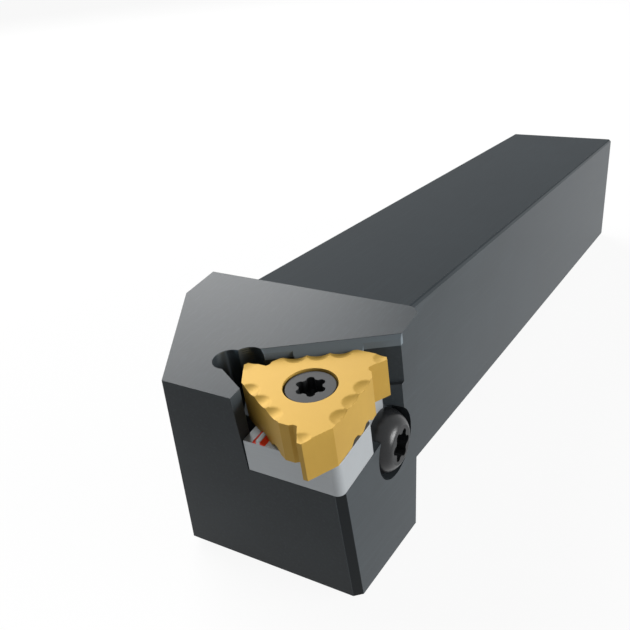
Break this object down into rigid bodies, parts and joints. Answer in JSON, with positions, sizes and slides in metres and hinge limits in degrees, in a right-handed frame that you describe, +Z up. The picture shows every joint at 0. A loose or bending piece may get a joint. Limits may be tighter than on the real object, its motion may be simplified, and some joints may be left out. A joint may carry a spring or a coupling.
{
  "type": "turning tool holder",
  "caption": "Square-shank external threading tool holder with a wide slanted head, a tilted corner pocket, a hard shim, a screwed lay-down three-cornered insert and a side screw for the shim.",
  "frame": {"origin": "on the base face of the shank, midway along its length and across its width", "axes": "+Z up from the base face to the top face, +Y along the shank away from the cutting end, +X to the right seen from the cutting end"},
  "size_m": [0.035, 0.15, 0.0335],
  "materials": {
    "holder": "dark bronzed steel, satin",
    "shim": "ground hard metal, pale grey",
    "screws": "black oxide, shiny",
    "insert": "gold coated hard metal, satin"
  },
  "bodies": {
    "holder": {"holder": "holder"},
    "shim": {"shim": "shim"},
    "insert": {"insert": "insert"},
    "insert_screw": {"insert_screw": "screws"},
    "shim_screw": {"shim_screw": "screws"}
  },
  "joints": [
    {"name": "shim_lift", "type": "slide", "parent": "holder", "child": "shim", "axis": [0, -0.1736, 0.9848], "range_m": [0, 0.013]},
    {"name": "insert_lift", "type": "slide", "parent": "shim", "child": "insert", "axis": [0, -0.1736, 0.9848], "range_m": [0, 0.021]},
    {"name": "insert_screw_out", "type": "slide", "parent": "insert", "child": "insert_screw", "axis": [0, -0.1736, 0.9848], "range_m": [0, 0.021]},
    {"name": "shim_screw_out", "type": "slide", "parent": "holder", "child": "shim_screw", "axis": [1, 0, 0], "range_m": [0, 0.014]}
  ]
}
